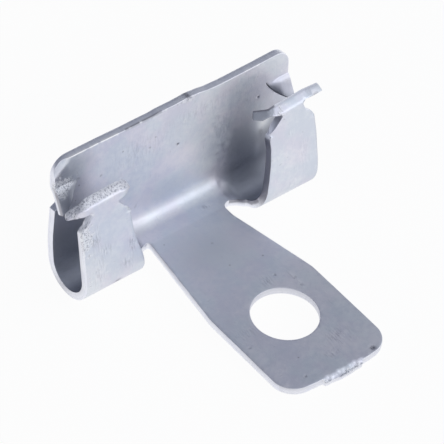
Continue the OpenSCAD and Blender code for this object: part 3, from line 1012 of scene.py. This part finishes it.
def makeRelief(faceFinish, edgeFinish):
    tree = bpy.data.node_groups.new("plating_relief", "GeometryNodeTree")
    tree.interface.new_socket(name="Geometry", in_out="INPUT", socket_type="NodeSocketGeometry")
    tree.interface.new_socket(name="Geometry", in_out="OUTPUT", socket_type="NodeSocketGeometry")
    sockets = {}
    for name in relief:
        sockets[name] = tree.interface.new_socket(name=name, in_out="INPUT", socket_type="NodeSocketFloat")
    nodes, links = tree.nodes, tree.links
    chain = NodeChain(nodes, links)
    start, end = nodes.new("NodeGroupInput"), nodes.new("NodeGroupOutput")

    def wave(sizeName, detail):
        node = nodes.new("ShaderNodeTexNoise")
        node.noise_dimensions = "4D"
        node.inputs["Detail"].default_value = detail
        links.new(start.outputs["Seed"], node.inputs["W"])
        links.new(start.outputs[sizeName], node.inputs["Scale"])
        return chain.math("SUBTRACT", node.outputs[0], 0.5)

    def named(name):
        node = nodes.new("GeometryNodeInputNamedAttribute")
        node.data_type = "FLOAT"
        node.inputs["Name"].default_value = name
        return node.outputs[0]

    ripple = chain.times(wave("Ripple Size", 2.0), chain.times(start.outputs["Ripple Height"], 2.0))
    grain = chain.times(wave("Grain Size", 1.0), chain.times(start.outputs["Grain Height"], 2.0))
    height = chain.math("ADD", ripple, chain.times(grain, named("scuffed")))
    offset = nodes.new("ShaderNodeVectorMath")
    offset.operation = "SCALE"
    links.new(nodes.new("GeometryNodeInputNormal").outputs[0], offset.inputs[0])
    links.new(height, offset.inputs["Scale"])
    shift = nodes.new("GeometryNodeSetPosition")
    links.new(start.outputs["Geometry"], shift.inputs["Geometry"])
    links.new(offset.outputs[0], shift.inputs["Offset"])
    whole = nodes.new("GeometryNodeRealizeInstances")
    links.new(shift.outputs[0], whole.inputs[0])
    faces = nodes.new("GeometryNodeSetMaterial")
    faces.inputs["Material"].default_value = faceFinish
    links.new(whole.outputs[0], faces.inputs["Geometry"])
    edges = nodes.new("GeometryNodeSetMaterial")
    edges.inputs["Material"].default_value = edgeFinish
    links.new(faces.outputs[0], edges.inputs["Geometry"])
    links.new(chain.math("GREATER_THAN", named("sheared"), 0.5), edges.inputs["Selection"])
    links.new(edges.outputs[0], end.inputs[0])
    return tree, sockets


def makeClip():
    mesh = makeSheet()
    bm = bmesh.new()
    bm.from_mesh(mesh)
    bmesh.ops.recalc_face_normals(bm, faces=bm.faces)
    closed, volume = all(e.is_manifold for e in bm.edges), round(bm.calc_volume() * 1e9, 1)
    print("sheet closed:", closed, "volume:", volume, "mm3")
    bm.to_mesh(mesh)
    bm.free()
    mesh.polygons.foreach_set("use_smooth", np.ones(len(mesh.polygons), bool))
    rough = newObject("clip_rough", mesh)

    tree, sockets = makeRelief(zincFace(), shearedEdge())
    modifier = rough.modifiers.new("plating_relief", "NODES")
    modifier.node_group = tree
    for name, socket in sockets.items():
        modifier[socket.identifier] = relief[name]
    depsgraph = bpy.context.evaluated_depsgraph_get()
    finished = bpy.data.meshes.new_from_object(
        rough.evaluated_get(depsgraph), preserve_all_data_layers=True, depsgraph=depsgraph)
    finished.name = "clip_sheet"
    bpy.data.objects.remove(rough)
    clip = newObject("clip_sheet", finished)
    print("clip:", len(finished.polygons), "faces,", [m.name for m in finished.materials])
    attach(clip, "root")
    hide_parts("clip")
    return clip


makeClip()

# View worked out from the photograph, by its lines: angles in degrees, lengths in metres
view = {
    "azimuth": -42.5007,
    "elevation": 43.4118,
    "roll": 4.5595,
    "aim": (-0.003016, 0.003664, 0.012598),
    "distance": 0.53745,
    "lens": 314.371,
    "sensor": 36.0,
}


def makeCamera():
    azimuth, elevation, roll = (math.radians(view[k]) for k in ("azimuth", "elevation", "roll"))
    back = Vector((
        math.sin(azimuth) * math.cos(elevation),
        -math.cos(azimuth) * math.cos(elevation),
        math.sin(elevation),
    ))
    right = Vector((math.cos(azimuth), math.sin(azimuth), 0))
    up = back.cross(right)
    tiltedRight = right * math.cos(roll) + up * math.sin(roll)
    tiltedUp = up * math.cos(roll) - right * math.sin(roll)
    data = bpy.data.cameras.new("camera")
    data.lens = view["lens"]
    data.sensor_width = view["sensor"]
    data.clip_start = 0.05
    camera = newObject("camera", data)
    turn = Matrix((tiltedRight, tiltedUp, back)).transposed().to_4x4()
    camera.matrix_world = Matrix.Translation(Vector(view["aim"]) + back * view["distance"]) @ turn
    bpy.context.scene.camera = camera


# The studio: pale paper on the floor, a broad soft lamp in front on the right, and a grey room that
# darkens towards the back
studio = {
    "floorSize": 6.0,
    "floorColor": (0.93, 0.93, 0.94, 1),
    "paperGlow": 0.95,
    "roomFront": (0.82, 0.85, 0.90, 1),
    "roomBack": (0.140, 0.152, 0.198, 1),
    "roomDarkest": -0.12,
    "roomBrightest": 0.95,
    "horizon": (0.90, 0.92, 0.95, 1),
    "horizonTop": 0.34,
    "brightFrom": (0.42, -0.72, 0.55),
    "lampFrom": (0.46, -0.76, 0.41),
    "lampDistance": 1.1,
    "lampWidth": 0.85,
    "lampHeight": 0.6,
    "lampPower": 1.65,
}


def makeFloor():
    size = studio["floorSize"]
    corners = [(-size, -size, 0), (size, -size, 0), (size, size, 0), (-size, size, 0)]
    mesh = bpy.data.meshes.new("floor")
    mesh.from_pydata(corners, [], [(0, 1, 2, 3)])
    floor = newObject("floor", mesh)
    material, nodes, links = newMaterial("floor_paper")
    chain = NodeChain(nodes, links)
    shader = nodes["Principled BSDF"]
    shader.inputs["Base Color"].default_value = studio["floorColor"]
    shader.inputs["Roughness"].default_value = 0.9
    # the paper is seen as white by the camera and in the metal, and still takes the clip's shadow
    path = nodes.new("ShaderNodeLightPath")
    seen = chain.math("MAXIMUM", path.outputs["Is Camera Ray"], path.outputs["Is Glossy Ray"])
    seen = chain.math("MAXIMUM", seen, path.outputs["Is Transmission Ray"])
    white = nodes.new("ShaderNodeEmission")
    white.inputs["Strength"].default_value = 1.0
    blend = nodes.new("ShaderNodeMixShader")
    links.new(chain.times(seen, studio["paperGlow"]), blend.inputs["Fac"])
    links.new(shader.outputs[0], blend.inputs[1])
    links.new(white.outputs[0], blend.inputs[2])
    links.new(blend.outputs[0], nodes["Material Output"].inputs["Surface"])
    mesh.materials.append(material)


def makeLamp():
    data = bpy.data.lights.new("softbox", "AREA")
    data.shape = "RECTANGLE"
    data.size = studio["lampWidth"]
    data.size_y = studio["lampHeight"]
    data.energy = studio["lampPower"]
    lamp = newObject("softbox", data)
    direction = Vector(studio["lampFrom"]).normalized()
    turn = direction.to_track_quat("Z", "Y").to_matrix().to_4x4()
    lamp.matrix_world = Matrix.Translation(direction * studio["lampDistance"]) @ turn


def makeRoom():
    world = bpy.data.worlds.new("room")
    world.use_nodes = True
    bpy.context.scene.world = world
    nodes, links = world.node_tree.nodes, world.node_tree.links
    chain = NodeChain(nodes, links)
    direction = nodes.new("ShaderNodeTexCoord").outputs["Generated"]
    towards = nodes.new("ShaderNodeVectorMath")
    towards.operation = "DOT_PRODUCT"
    towards.inputs[1].default_value = Vector(studio["brightFrom"]).normalized()
    links.new(direction, towards.inputs[0])
    tone = chain.spread(towards.outputs["Value"], studio["roomDarkest"], studio["roomBrightest"])
    tone = chain.blend(tone, studio["roomBack"], studio["roomFront"])
    # the white paper curves up behind, so low directions stay bright all round
    height = nodes.new("ShaderNodeSeparateXYZ")
    links.new(direction, height.inputs[0])
    low = chain.spread(height.outputs["Z"], studio["horizonTop"], 0.0)
    links.new(chain.blend(low, tone, studio["horizon"]), nodes["Background"].inputs["Color"])
    nodes["Background"].inputs["Strength"].default_value = 1.0


makeCamera()
makeFloor()
makeRoom()
makeLamp()
bpy.context.scene.view_settings.view_transform = "Standard"
print("studio: floor, room and softbox")
